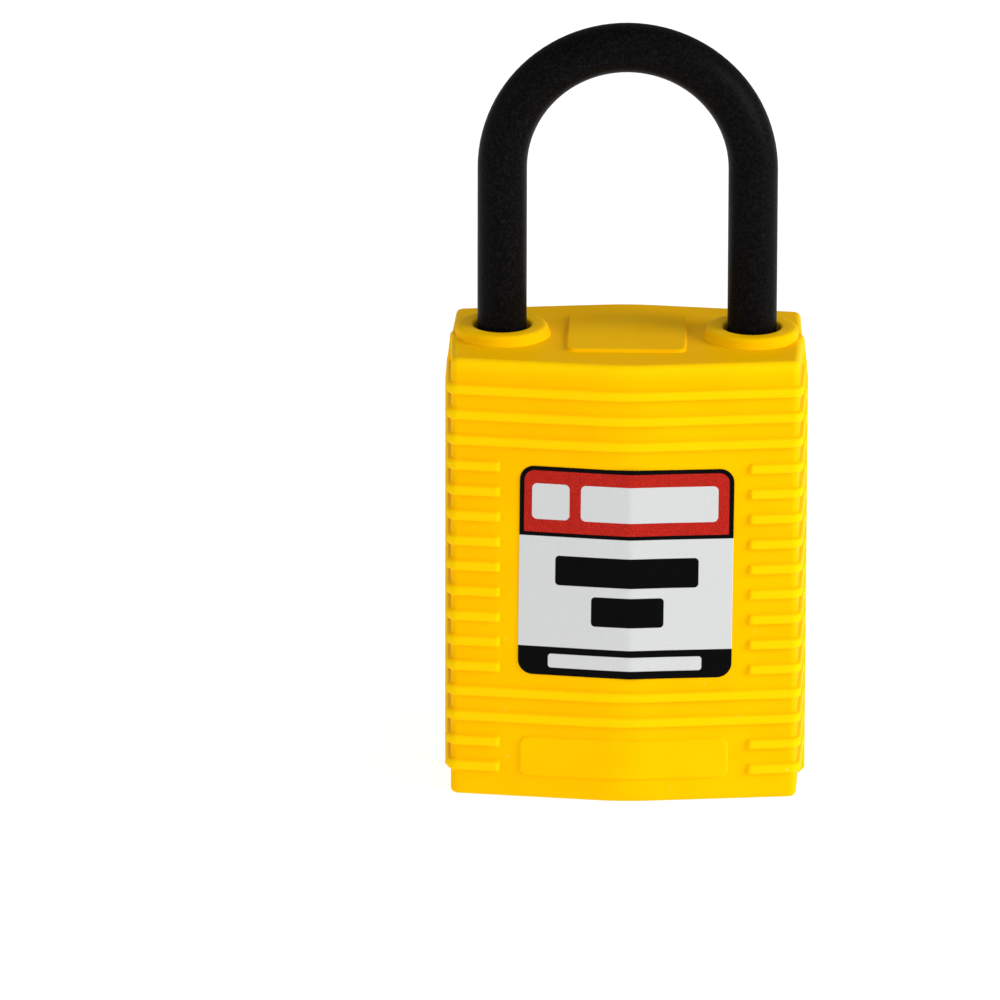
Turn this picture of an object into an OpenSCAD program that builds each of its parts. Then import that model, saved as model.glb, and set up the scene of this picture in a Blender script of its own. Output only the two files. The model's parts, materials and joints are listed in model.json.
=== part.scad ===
// Lockout padlock: ribbed moulded nylon body, nylon shackle, and the lock that holds it.
// Millimetres. The body stands on its flat bottom at z = 0, centred on x = y = 0,
// with its front towards -Y and its shackle up. The heel leg is on the +X side.

/* [Body shell] */
// Height of the moulded body, without the collars
body_h = 44.2; // [43.3:0.1:48]
// Width between the front corners
body_w = 33.4; // [33:0.1:38]
// Width across the flanks at mid depth
flank_w = 33.9; // [33.6:0.1:38.4]
// Width over the two flank spines
spine_w = 35; // [34.4:0.1:39.6]
// Depth over the centre ridges, front to back
ridge_depth = 20.9; // [19.6:0.1:24]
// Depth at the corners, front to back
side_depth = 16.6; // [15.4:0.1:18.6]
// Rounding of the top and bottom edges
edge_r = 0.5; // [0.3:0.1:0.9]
// Rounding of the upright corners
corner_r = 0.8; // [0.6:0.1:1.6]
// Rounding of the two centre ridges
ridge_r = 20; // [6:1:30]
// Width of a flank spine at its crest
spine_crest_w = 1.6; // [1:0.1:3]
// Length over which a spine fades out below the top
spine_fade_h = 4.2; // [2:0.1:6]
// How much a spine is lower at the very top
spine_fade_in = 0.45; // [0.1:0.05:0.45]

/* [Ribs] */
// Spacing of the ribs
rib_pitch = 2.54; // [2.3:0.01:2.9]
// Width of one rib
rib_w = 1; // [0.6:0.01:1.1]
// Height of a rib above the face
rib_proud = 0.42; // [0.25:0.01:0.5]
// Rounding of a rib's long edges
rib_round = 0.28; // [0.1:0.01:0.29]
// Drop from the top face to the middle of the first rib
first_rib_drop = 3; // [2.5:0.1:4]
// Least height of the last rib above the bottom
last_rib_h = 2.3; // [1.8:0.1:3]
// Full ribs above the label
upper_full_ribs = 3; // [1:1:4]
// Full ribs below the label
lower_full_ribs = 2; // [1:1:3]
// Short ribs at the bottom
bottom_short_ribs = 2; // [1:1:3]
// Distance from the ridge to the inner end of a short rib
short_rib_start = 12; // [11:0.1:13]

/* [Top and front pads] */
// Height of the collars round the shackle holes
collar_h = 1; // [0.6:0.05:1.3]
// Wall of a collar round its hole
collar_wall = 1.75; // [1.4:0.05:1.9]
// Rounding of a collar's outer edge
collar_round = 0.5; // [0.2:0.05:0.5]
// Rounding of a collar's hole
hole_round = 0.3; // [0.1:0.05:0.4]
// Side of the plain pad on top
top_pad_w = 11.4; // [9:0.1:12]
// Thickness of the plain pad on top
top_pad_t = 0.3; // [0.1:0.01:0.35]
// Width of the plain pad low on the front
front_pad_w = 20; // [16:0.1:21]
// Height of the plain pad low on the front
front_pad_h = 3.9; // [3:0.1:4.4]
// Thickness of the plain pad low on the front
front_pad_t = 0.22; // [0.1:0.01:0.35]
// Corner radius of both pads
pad_round = 0.8; // [0.4:0.1:1.2]

/* [Label] */
// Width of the label over the ridge
label_w = 20.5; // [18:0.1:21.4]
// Height of the label
label_h = 20.9; // [18:0.1:21.6]
// Drop from the top face to the label's upper edge
label_drop = 10.5; // [10.2:0.05:10.8]
// Thickness of the label
label_t = 0.12; // [0.08:0.01:0.3]
// Corner radius of the label
label_r = 1.4; // [0.5:0.1:2]

/* [Shackle] */
// Diameter of the shackle
shackle_d = 4.76; // [4.4:0.01:4.9]
// Distance between the legs' centre lines
leg_spacing = 24.1; // [23.8:0.1:25.2]
// Clear height under the bend, above the collars
shackle_window_h = 25.4; // [20:0.1:76]
// How far the shackle lifts when it opens
shackle_lift = 9; // [8.6:0.1:9.4]
// Gap between the open toe and its collar
toe_clear = 0.2; // [0.1:0.05:0.4]
// Radial gap of a leg in its hole
leg_gap = 0.37; // [0.1:0.01:0.45]
// Depth of the toe hole beyond the toe
toe_hole_spare = 0.8; // [0.3:0.1:1.5]
// Chamfer on the leg ends
leg_chamfer = 0.5; // [0.2:0.1:0.8]
// Height of the heel's end above the bottom
heel_end_z = 15; // [13:0.1:16]
// Height of the heel's foot below its groove
heel_foot_h = 1; // [0.8:0.1:1.5]

/* [Retaining clip and spring] */
// Thickness of the clip on the heel
clip_t = 0.8; // [0.5:0.05:1.2]
// Depth of the heel's groove
clip_groove = 0.7; // [0.4:0.05:0.9]
// Radius of the wide part of the heel hole
heel_bore_r = 3.3; // [3.1:0.05:3.4]
// Radial gap of the clip in the heel hole
clip_gap = 0.15; // [0.1:0.05:0.3]
// Gap left between the clip and its shoulder when open
clip_stop_gap = 0.1; // [0.05:0.05:0.3]
// Radial gap of the shackle spring in the heel hole
spring_gap = 0.45; // [0.3:0.05:0.6]
// Wire diameter of the shackle spring
spring_wire = 0.55; // [0.4:0.05:0.7]
// Turns of the shackle spring
spring_turns = 8; // [6:1:10]

/* [Bottom plate] */
// Thickness of the bottom plate
plate_t = 1.6; // [1.2:0.1:2.2]
// Rim of the shell round the bottom plate
plate_rim = 1.5; // [1.1:0.1:1.7]
// Gap between the plate and the rim
plate_gap = 0.08; // [0.03:0.01:0.2]
// Gap between the plug's face and the plate's window
window_gap = 0.25; // [0.1:0.05:0.5]
// Chamfer round the window
window_chamfer = 0.4; // [0.2:0.05:0.6]

/* [Lock cylinder] */
// Outer radius of the lock cylinder
cylinder_r = 7.2; // [7:0.05:7.2]
// Radial gap of the cylinder and the bearing in the shell
cylinder_gap = 0.05; // [0.02:0.01:0.1]
// Length of the lock cylinder
cylinder_l = 21; // [20:0.1:22]
// Radius of the stop pin beside the cylinder
stop_pin_r = 0.8; // [0.6:0.05:1]
// Length of the stop pin
stop_pin_l = 9; // [6:0.1:12]
// Gap round the stop pin
stop_pin_gap = 0.02; // [0.01:0.01:0.05]
// Depth of the sidebar groove in the cylinder
groove_depth = 0.6; // [0.4:0.05:0.8]

/* [Plug] */
// Radius of the plug
plug_r = 5.65; // [5.5:0.01:5.75]
// Radial running gap of the plug
plug_gap = 0.05; // [0.03:0.01:0.08]
// Recess of the plug's face from the bottom
plug_recess = 0.3; // [0.1:0.05:0.6]
// Width of the keyway
keyway_w = 9.2; // [8.8:0.1:9.4]
// Thickness of the keyway
keyway_t = 2.2; // [1.9:0.05:2.5]
// Depth of the keyway from the plug's face
keyway_depth = 20.4; // [19.5:0.1:21]
// Width of the warding ridge down the keyway's long side
ward_w = 1.1; // [0.8:0.05:1.3]
// Height of the warding ridge
ward_h = 0.5; // [0.3:0.05:0.6]
// Length of the plug behind the cylinder
plug_tail = 2; // [1.8:0.1:2.6]
// Thickness of the plug's retaining ring
ring_t = 0.7; // [0.5:0.05:0.8]
// Depth of the ring's groove in the plug
ring_groove = 0.5; // [0.3:0.05:0.6]
// How far the ring stands proud of the plug
ring_proud = 0.7; // [0.5:0.05:0.8]

/* [Sliders and sidebars] */
// Width of a slider
slider_w = 1; // [0.8:0.05:1.2]
// Depth of a slider away from the keyway
slider_d = 1.4; // [1.2:0.05:1.5]
// Length of a slider
slider_l = 7; // [6:0.1:7.4]
// Spacing of the sliders across the keyway
slider_pitch = 2.3; // [2.1:0.05:2.4]
// Height of the sliders' lower ends above the bottom
slider_z = 8.4; // [8:0.1:9]
// Gap round a slider in its slot
slider_gap = 0.06; // [0.03:0.01:0.1]
// Depth of the notch that takes the sidebar
slider_notch = 0.4; // [0.3:0.05:0.5]
// Length of a slider's spring at rest
slider_spring_l = 5; // [4.5:0.1:5.4]
// Wire diameter of the slider springs
slider_wire = 0.2; // [0.15:0.01:0.24]
// Turns of a slider spring
slider_turns = 5; // [4:1:7]
// Length of a sidebar across the plug
sidebar_l = 7; // [6.6:0.1:7.2]
// Height of a sidebar along the plug
sidebar_h = 3; // [2.6:0.1:3.2]
// Gap round a sidebar in its slot
sidebar_gap = 0.06; // [0.03:0.01:0.1]
// Depth of the spring hole in a sidebar
sidebar_hole = 1.1; // [0.9:0.05:1.3]

/* [Spindle, bearing and cam] */
// Radius of the drive spindle
spindle_r = 2.4; // [2:0.05:2.8]
// Running gap of the spindle in its bearing
spindle_gap = 0.05; // [0.03:0.01:0.08]
// Width of the spindle's lower blade
blade_w = 7; // [6:0.1:8]
// Thickness of the spindle's lower blade
blade_t = 2; // [1.6:0.05:2.4]
// Depth of the blade in the plug
blade_depth = 1.4; // [1.2:0.05:1.5]
// Side of the spindle's square end
square_w = 3; // [2.6:0.05:3.2]
// Gap round the driven ends of the spindle
drive_gap = 0.04; // [0.02:0.01:0.08]
// Thickness of the locking cam
cam_t = 3; // [2.6:0.1:3.2]
// Gap above and below the cam
cam_gap = 0.2; // [0.1:0.05:0.3]
// Wall of the shell above the cam
top_wall = 1.7; // [1.4:0.05:1.9]
// Wall of the bearing's skirt
skirt_wall = 0.55; // [0.4:0.05:0.6]
// Gap between the bearing's web and the plug's tail
tail_gap = 0.4; // [0.2:0.05:0.6]

/* [Locking balls] */
// Radius of a locking ball
ball_r = 1.9; // [1.8:0.01:1.95]
// How deep a ball sits in its leg
ball_bite = 0.8; // [0.7:0.01:0.85]
// How far a ball draws back when the lock opens
ball_travel = 2.2; // [2.1:0.01:2.3]
// Running gap round a ball
ball_gap = 0.1; // [0.05:0.01:0.12]
// Gap between a ball and the cam
cam_ball_gap = 0.05; // [0.03:0.01:0.08]
// Radial gap of the cam in its room
cam_room_gap = 0.33; // [0.2:0.01:0.4]

/* [Hidden] */
$fn = 96;

// How far a cutter runs past the surface that it opens
cut = 1;
// A quarter turn of the plug opens the lock
open_turn = 90;

// Plan outline of the body, anticlockwise from the front ridge
plan_points = [
    [0, -ridge_depth / 2], [body_w / 2, -side_depth / 2], [flank_w / 2, 0],
    [body_w / 2, side_depth / 2], [0, ridge_depth / 2], [-body_w / 2, side_depth / 2],
    [-flank_w / 2, 0], [-body_w / 2, -side_depth / 2]];
// Angles of the four front and back faces, and of the four flank faces
face_angle = atan2(ridge_depth / 2 - side_depth / 2, body_w / 2);
flank_angle = atan2(flank_w / 2 - body_w / 2, side_depth / 2);
face_half = ridge_depth / 2 * cos(face_angle);
flank_half = flank_w / 2 * cos(flank_angle);

// Ribs, counted down from the top
rib_count = floor((body_h - first_rib_drop - last_rib_h) / rib_pitch) + 1;
lower_full_from = rib_count - bottom_short_ribs - lower_full_ribs;
// A rib that comes within half a pitch of the label is short as well
first_short_rib = min(upper_full_ribs,
    floor((label_drop - first_rib_drop) / rib_pitch - 0.5) + 1);
last_short_rib = max(lower_full_from - 1,
    ceil((label_drop + label_h - first_rib_drop) / rib_pitch + 0.5) - 1);

leg_x = leg_spacing / 2;
leg_r = shackle_d / 2;
hole_r = leg_r + leg_gap;
collar_r = hole_r + collar_wall;
collar_top = body_h + collar_h;
bend_z = collar_top + shackle_window_h - (leg_x - leg_r);
toe_z = collar_top - shackle_lift + toe_clear;

// The lock's stack, upwards from the bottom plate
bore_r = cylinder_r + cylinder_gap;
cylinder_top = plate_t + cylinder_l;
plug_top = cylinder_top + plug_tail;
ring_gap = 0.1;
cam_top = body_h - top_wall - cam_gap;
cam_z = cam_top - cam_t;
bearing_top = cam_z - cam_gap;
web_z = plug_top + tail_gap;

// Heel end of the shackle
clip_z = heel_end_z + heel_foot_h;
clip_r = heel_bore_r - clip_gap;
clip_mouth = clip_r / 1.5;
heel_shoulder_z = clip_z + clip_t + shackle_lift + clip_stop_gap;

// Locking balls: their centres when locked, and the slope of their way in the leg
ball_z = cam_z + cam_t / 2;
ball_x = leg_x - leg_r - ball_r + ball_bite;
cam_r = ball_x - ball_r - cam_ball_gap;
cam_room_r = cam_r + cam_room_gap;
pocket_r = ball_r + ball_gap;
pocket_slope = ball_travel / shackle_lift;
pocket_drop = (ball_bite + ball_gap) / pocket_slope;

// Sliders: three on each side of the keyway
slider_x = [-slider_pitch, 0, slider_pitch, -slider_pitch, 0, slider_pitch];
slider_side = [-1, -1, -1, 1, 1, 1];
slider_floor = keyway_t / 2 + slider_d;
slot_top = slider_z + slider_l + slider_spring_l + slider_gap;
slider_spring_r = slider_w / 2 - slider_wire / 2;
slider_spring_y = keyway_t / 2 + slider_d / 2;
sidebar_z = slider_z + slider_l / 2;
sidebar_out = sqrt(pow(plug_r - slider_gap, 2) - pow(sidebar_l / 2, 2));
sidebar_hole_r = 0.55;
sidebar_wire = 0.2;
sidebar_turns = 4;
// Share of a sidebar's height that its groove in the cylinder is wide
groove_share = 0.7;

// Radii of the plan outline's corners when it is grown sideways, all but the two on the flanks
plate_corner_r = 0.4;
round_corners = [0, 1, 3, 4, 5, 7];
function plan_radii(grow) = [for (i = [0 : 7])
    i % 4 == 0 ? ridge_r + grow : max(corner_r + grow, plate_corner_r)];

// Outward normals of the two edges that meet at one corner of an anticlockwise outline
function edge_normal(a, b) = [b[1] - a[1], a[0] - b[0]] / norm(b - a);
function corner_normals(pts, i) =
    let (n = len(pts))
    [edge_normal(pts[(i + n - 1) % n], pts[i]), edge_normal(pts[i], pts[(i + 1) % n])];
// A corner moved out by d from both of its edges
function corner_out(pts, i, d) =
    let (m = corner_normals(pts, i)) pts[i] + d * (m[0] + m[1]) / (1 + m[0] * m[1]);
function moved_out(pts, d) = [for (i = [0 : len(pts) - 1]) corner_out(pts, i, d)];

// What rounding takes off one corner: the wedge between its two normals, less the circle
module corner_cutter(pts, i, r) {
    normals = corner_normals(pts, i);
    centre = corner_out(pts, i, -r);
    difference() {
        polygon([centre, centre + 2 * r * normals[0], centre + 4 * (pts[i] - centre),
            centre + 2 * r * normals[1]]);
        translate(centre) circle(r);
    }
}

// Convex outline with the named corners rounded by true arcs
module rounded_outline(pts, radii, corners) {
    difference() {
        polygon(pts);
        for (i = corners) corner_cutter(pts, i, radii[i]);
    }
}

// Plan outline of the body, grown sideways
module plan_outline(grow) {
    rounded_outline(moved_out(plan_points, grow), plan_radii(grow), round_corners);
}

// Rectangle from (x0, y0) to (x1, y1) with corners rounded by true arcs
module rounded_box(x0, y0, x1, y1, r) {
    rounded_outline([[x0, y0], [x1, y0], [x1, y1], [x0, y1]], [r, r, r, r], [0 : 3]);
}

// Endless bar whose section is a rounded rectangle, turned about Z
module rounded_bar(half, z0, z1, r, angle) {
    rotate([0, 0, angle]) rotate([90, 0, 90])
        linear_extrude(2 * body_w, center = true) rounded_box(-half, z0, half, z1, r);
}

// The body's form between two heights, grown sideways, with rounded long edges
module faced_bars(z0, z1, grow, r) {
    intersection() {
        rounded_bar(face_half + grow, z0, z1, r, face_angle);
        rounded_bar(face_half + grow, z0, z1, r, -face_angle);
        rounded_bar(flank_half + grow, z0, z1, r, 90 - flank_angle);
        rounded_bar(flank_half + grow, z0, z1, r, 90 + flank_angle);
    }
}

// What rounding takes off the ridges and the upright corners of the grown body
module upright_cutters(grow) {
    grown = moved_out(plan_points, grow);
    radii = plan_radii(grow);
    for (i = round_corners)
        translate([0, 0, -cut]) linear_extrude(body_h + 2 * cut) corner_cutter(grown, i, radii[i]);
}

module rounded_body(grow) {
    difference() {
        faced_bars(0, body_h, grow, edge_r);
        upright_cutters(grow);
    }
}

// Ribs round the whole body, cut back to both sides of the label and of the low pad
module ribs() {
    function rib_z(level) = body_h - first_rib_drop - level * rib_pitch;
    difference() {
        union() for (level = [0 : rib_count - 1])
            faced_bars(rib_z(level) - rib_w / 2, rib_z(level) + rib_w / 2, rib_proud, rib_round);
        upright_cutters(rib_proud);
        short_rib_gap(rib_z(last_short_rib), rib_z(first_short_rib));
        short_rib_gap(rib_z(rib_count - 1), rib_z(rib_count - bottom_short_ribs));
    }
}

// Clears the middle of the ribs from one level up to another
module short_rib_gap(low_z, high_z) {
    translate([-short_rib_start, -ridge_depth, low_z - rib_w])
        cube([2 * short_rib_start, 2 * ridge_depth, high_z - low_z + 2 * rib_w]);
}

// Upright spines in the middle of both flanks, fading out towards the top
module flank_spines() {
    crest = spine_w / 2;
    base = flank_w / 2 - edge_r;
    foot = crest - base;
    intersection() {
        linear_extrude(body_h) polygon([
            [-crest, -spine_crest_w / 2], [-base, -spine_crest_w / 2 - foot],
            [base, -spine_crest_w / 2 - foot], [crest, -spine_crest_w / 2],
            [crest, spine_crest_w / 2], [base, spine_crest_w / 2 + foot],
            [-base, spine_crest_w / 2 + foot], [-crest, spine_crest_w / 2]]);
        rotate([90, 0, 0]) linear_extrude(ridge_depth, center = true) polygon([
            [-crest + edge_r, 0], [crest - edge_r, 0], [crest, edge_r],
            [crest, body_h - spine_fade_h], [crest - spine_fade_in, body_h - edge_r / 2],
            [crest - spine_fade_in - edge_r / 2, body_h],
            [-crest + spine_fade_in + edge_r / 2, body_h],
            [-crest + spine_fade_in, body_h - edge_r / 2],
            [-crest, body_h - spine_fade_h], [-crest, edge_r]]);
    }
}

// Raised collar round a shackle hole, rounded outside
module collar(side) {
    translate([side * leg_x, 0, body_h - edge_r]) rotate_extrude() {
        square([collar_r, edge_r + collar_h - collar_round]);
        square([collar_r - collar_round, edge_r + collar_h]);
        translate([collar_r - collar_round, edge_r + collar_h - collar_round])
            circle(collar_round);
    }
}

// Plain low pads on the top face and low on the front
module plain_pads() {
    translate([0, 0, body_h - edge_r]) linear_extrude(edge_r + top_pad_t)
        rounded_box(-top_pad_w / 2, -top_pad_w / 2, top_pad_w / 2, top_pad_w / 2, pad_round);
    low_ribs_z = body_h - first_rib_drop - (rib_count - bottom_short_ribs / 2 - 0.5) * rib_pitch;
    intersection() {
        rounded_body(front_pad_t);
        rotate([90, 0, 0]) linear_extrude(ridge_depth)
            rounded_box(-front_pad_w / 2, low_ribs_z - front_pad_h / 2,
                front_pad_w / 2, low_ribs_z + front_pad_h / 2, pad_round);
    }
}

// Hole for one leg, with its mouth rounded over the collar
module leg_hole(side, bottom_z) {
    translate([side * leg_x, 0, 0]) {
        translate([0, 0, bottom_z]) cylinder(r = hole_r, h = collar_top + cut - bottom_z);
        translate([0, 0, collar_top - hole_round]) rotate_extrude() difference() {
            square([hole_r + hole_round, hole_round + cut]);
            translate([hole_r + hole_round, 0]) circle(hole_round);
        }
    }
}

module body_shell() {
    color("gold") difference() {
        union() {
            rounded_body(0);
            ribs();
            flank_spines();
            collar(-1);
            collar(1);
            plain_pads();
        }
        leg_hole(-1, toe_z - toe_hole_spare);
        leg_hole(1, plate_t);
        translate([leg_x, 0, 0]) cylinder(r = heel_bore_r, h = heel_shoulder_z);
        translate([0, 0, -cut]) cylinder(r = bore_r, h = bearing_top + cut);
        translate([0, 0, bearing_top - cut])
            cylinder(r = cam_room_r, h = body_h - top_wall - bearing_top + cut);
        ball_channel();
        translate([0, 0, -cut]) linear_extrude(plate_t + cut)
            plan_outline(-plate_rim);
        stop_pin_hole();
    }
}

// Straight way between the legs that both balls run in
module ball_channel() {
    translate([0, 0, ball_z]) rotate([0, 90, 0])
        cylinder(r = pocket_r, h = leg_spacing, center = true);
}

// The stop pin lies half in the shell and half in the lock cylinder
module stop_pin_hole() {
    translate([0, cylinder_r, plate_t - cut])
        cylinder(r = stop_pin_r + stop_pin_gap, h = stop_pin_l + cut + stop_pin_gap);
}

module cylinder_stop_pin() {
    color("silver") translate([0, cylinder_r, plate_t])
        cylinder(r = stop_pin_r, h = stop_pin_l);
}

module bottom_plate() {
    window_r = plug_r + window_gap;
    color("gold") difference() {
        linear_extrude(plate_t)
            plan_outline(-plate_rim - plate_gap);
        translate([0, 0, -cut]) cylinder(r = window_r, h = plate_t + 2 * cut);
        translate([0, 0, -window_chamfer]) cylinder(
            r1 = window_r + 2 * window_chamfer, r2 = window_r, h = 2 * window_chamfer);
    }
}

// Thin label folded over the front ridge
module front_label() {
    top = body_h - label_drop;
    color("white") intersection() {
        rotate([90, 0, 0]) linear_extrude(ridge_depth)
            rounded_box(-label_w / 2, top - label_h, label_w / 2, top, label_r);
        linear_extrude(body_h) difference() {
            plan_outline(label_t);
            plan_outline(0);
        }
    }
}

// Bent round bar with a pocket for a ball in each leg and a groove at the heel
module shackle() {
    color("black") difference() {
        union() {
            translate([0, 0, bend_z]) rotate([90, 0, 0]) rotate_extrude(angle = 180)
                translate([leg_x, 0]) circle(leg_r);
            leg(-1, toe_z);
            leg(1, heel_end_z);
        }
        ball_pocket(-1);
        ball_pocket(1);
        translate([leg_x, 0, clip_z]) difference() {
            cylinder(r = leg_r + cut, h = clip_t);
            translate([0, 0, -cut]) cylinder(r = leg_r - clip_groove, h = clip_t + 2 * cut);
        }
    }
}

module leg(side, end_z) {
    translate([side * leg_x, 0, end_z]) {
        cylinder(r1 = leg_r - leg_chamfer, r2 = leg_r, h = leg_chamfer);
        translate([0, 0, leg_chamfer]) cylinder(r = leg_r, h = bend_z - end_z - leg_chamfer);
    }
}

// Room for a ball that draws in while the leg rises past it
module ball_pocket(side) {
    way = norm([pocket_drop * pocket_slope, pocket_drop]);
    translate([side * ball_x, 0, ball_z]) {
        sphere(pocket_r);
        rotate([0, 180 + side * atan(pocket_slope), 0]) cylinder(r = pocket_r, h = way);
        translate([-side * pocket_drop * pocket_slope, 0, -pocket_drop]) sphere(pocket_r);
    }
}

module shackle_retaining_clip() {
    color("silver") translate([leg_x, 0, clip_z]) difference() {
        cylinder(r = clip_r, h = clip_t);
        translate([0, 0, -cut]) cylinder(r = leg_r - clip_groove, h = clip_t + 2 * cut);
        translate([0, -clip_mouth / 2, -cut]) cube([2 * clip_r, clip_mouth, clip_t + 2 * cut]);
    }
}

// Closed coil of round wire between z = 0 and z = length, with some sides round its wire and
// some steps to a turn
module coil(mean_r, wire_r, length, turns, sides = 6, steps = 10) {
    rings = turns * steps;
    rise = length - 2 * wire_r;
    points = [for (i = [0 : rings]) for (k = [0 : sides - 1])
        let (a = 360 * i / steps, b = 360 * k / sides, r = mean_r + wire_r * cos(b))
        [r * cos(a), r * sin(a), wire_r + rise * i / rings + wire_r * sin(b)]];
    walls = [for (i = [0 : rings - 1]) for (k = [0 : sides - 1])
        let (n = (k + 1) % sides)
        each [[i * sides + k, i * sides + n, (i + 1) * sides + k],
            [i * sides + n, (i + 1) * sides + n, (i + 1) * sides + k]]];
    ends = [[for (k = [sides - 1 : -1 : 0]) k], [for (k = [0 : sides - 1]) rings * sides + k]];
    polyhedron(points, concat(walls, ends));
}

module shackle_spring() {
    wire_r = spring_wire / 2;
    color("silver") translate([leg_x, 0, plate_t])
        coil(heel_bore_r - spring_gap - wire_r, wire_r, heel_end_z - plate_t,
            spring_turns, sides = 8, steps = 16);
}

// Brass housing of the lock, with a groove for each sidebar
module lock_cylinder() {
    run_r = plug_r + plug_gap;
    groove_w = sidebar_h * groove_share;
    color("goldenrod") difference() {
        translate([0, 0, plate_t]) cylinder(r = cylinder_r, h = cylinder_l);
        translate([0, 0, plate_t - cut]) cylinder(r = run_r, h = cylinder_l + 2 * cut);
        stop_pin_hole();
        for (side = [-1, 1])
            translate([-groove_w / 2, side > 0 ? 0 : -run_r - groove_depth, sidebar_z - sidebar_h])
                cube([groove_w, run_r + groove_depth, 2 * sidebar_h]);
    }
}

// Rotating plug with the keyway, the slider slots and the sidebar slots
module lock_plug() {
    color("gold") difference() {
        translate([0, 0, plug_recess]) cylinder(r = plug_r, h = plug_top - plug_recess);
        keyway();
        for (i = [0 : 5]) slider_slot(i);
        for (side = [-1, 1]) sidebar_slot(side);
        ring_groove_cut();
        translate([0, 0, plug_top - blade_depth])
            blade(blade_w + 2 * drive_gap, blade_t + 2 * drive_gap, blade_depth + cut);
    }
}

module keyway() {
    difference() {
        translate([-keyway_w / 2, -keyway_t / 2, 0])
            cube([keyway_w, keyway_t, keyway_depth + plug_recess]);
        for (side = [-1, 1])
            translate([side * slider_pitch / 2 * 3 - ward_w / 2,
                side > 0 ? keyway_t / 2 - ward_h : -keyway_t / 2 - cut, -cut])
                cube([ward_w, ward_h + cut, keyway_depth + plug_recess + 2 * cut]);
    }
}

module slider_slot(i) {
    y0 = slider_side[i] > 0 ? 0 : -slider_floor - slider_gap;
    translate([slider_x[i] - slider_w / 2 - slider_gap, y0, slider_z - slider_gap])
        cube([slider_w + 2 * slider_gap, slider_floor + slider_gap, slot_top - slider_z]);
}

module sidebar_slot(side) {
    y0 = side > 0 ? slider_floor - slider_notch : -plug_r - cut;
    translate([-sidebar_l / 2 - sidebar_gap, y0, sidebar_z - sidebar_h / 2 - sidebar_gap])
        cube([sidebar_l + 2 * sidebar_gap, plug_r + cut - slider_floor + slider_notch,
            sidebar_h + 2 * sidebar_gap]);
}

module ring_groove_cut() {
    translate([0, 0, cylinder_top + ring_gap]) difference() {
        cylinder(r = plug_r + cut, h = ring_t);
        translate([0, 0, -cut]) cylinder(r = plug_r - ring_groove, h = ring_t + 2 * cut);
    }
}

module blade(w, t, h) {
    translate([-w / 2, -t / 2, 0]) cube([w, t, h]);
}

// Flat slider with a notch that the sidebar drops into
module slider(i) {
    side = slider_side[i];
    y0 = side > 0 ? keyway_t / 2 : -slider_floor;
    notch_y = side > 0 ? slider_floor - slider_notch : -slider_floor - cut;
    color("lightgray") difference() {
        translate([slider_x[i] - slider_w / 2, y0, slider_z]) cube([slider_w, slider_d, slider_l]);
        translate([slider_x[i] - slider_w, notch_y, sidebar_z - sidebar_h / 2 - sidebar_gap])
            cube([2 * slider_w, slider_notch + cut, sidebar_h + 2 * sidebar_gap]);
    }
}

module slider_spring(i) {
    color("silver") translate([slider_x[i], slider_side[i] * slider_spring_y,
        slider_z + slider_l])
        coil(slider_spring_r, slider_wire / 2, slider_spring_l - slider_gap, slider_turns);
}

// Bar that joins three sliders, its outer face as round as the plug
module sidebar(side) {
    inner = slider_floor - slider_notch + sidebar_gap;
    color("khaki") difference() {
        intersection() {
            translate([-sidebar_l / 2, side > 0 ? inner : -plug_r, sidebar_z - sidebar_h / 2])
                cube([sidebar_l, plug_r - inner, sidebar_h]);
            cylinder(r = plug_r - sidebar_gap, h = plug_top);
        }
        for (x = [-1, 1])
            translate([x * slider_pitch / 2, side * inner, sidebar_z])
                rotate([side * -90, 0, 0]) translate([0, 0, -cut])
                    cylinder(r = sidebar_hole_r, h = sidebar_hole + cut);
    }
}

module sidebar_springs(side) {
    floor_y = slider_floor - slider_notch;
    color("silver") for (x = [-1, 1])
        translate([x * slider_pitch / 2, side * floor_y, sidebar_z]) rotate([side * -90, 0, 0])
            coil(sidebar_hole_r - sidebar_wire, sidebar_wire / 2, sidebar_hole, sidebar_turns);
}

// Open ring behind the cylinder that keeps the plug in it
module plug_retaining_ring() {
    mouth = plug_r;
    color("silver") translate([0, 0, cylinder_top + ring_gap]) difference() {
        cylinder(r = plug_r + ring_proud, h = ring_t);
        translate([0, 0, -cut]) cylinder(r = plug_r - ring_groove, h = ring_t + 2 * cut);
        translate([-mouth / 2, -2 * plug_r, -cut]) cube([mouth, 2 * plug_r, ring_t + 2 * cut]);
    }
}

// Shaft with a flat blade for the plug and a square end for the cam
module drive_spindle() {
    color("silver") {
        translate([0, 0, plug_top - blade_depth]) blade(blade_w, blade_t, blade_depth + tail_gap);
        translate([0, 0, web_z]) cylinder(r = spindle_r, h = bearing_top - web_z + cam_gap / 2);
        translate([-square_w / 2, -square_w / 2, bearing_top])
            cube([square_w, square_w, cam_top - bearing_top]);
    }
}

// Moulded guide between the cylinder and the cam, with a skirt round the plug's tail and
// a groove on top that the balls run over
module spindle_bearing() {
    color("dimgray") difference() {
        translate([0, 0, cylinder_top]) cylinder(r = cylinder_r, h = bearing_top - cylinder_top);
        translate([0, 0, cylinder_top - cut])
            cylinder(r = cylinder_r - skirt_wall, h = web_z - cylinder_top + cut);
        translate([0, 0, cylinder_top])
            cylinder(r = spindle_r + spindle_gap, h = body_h);
        ball_channel();
    }
}

// A ball's centre for each turn of the cam, and the cam's edge a ball's radius inside it
function cam_pitch(a) = ball_x - ball_travel * a / open_turn;
function cam_slope(a) = atan2(ball_travel * 180 / (PI * open_turn), cam_pitch(a));
function cam_edge(a) = cam_pitch(a) * [cos(a), -sin(a)]
    - (ball_r + cam_ball_gap) * [cos(a + cam_slope(a)), -sin(a + cam_slope(a))];

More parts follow.
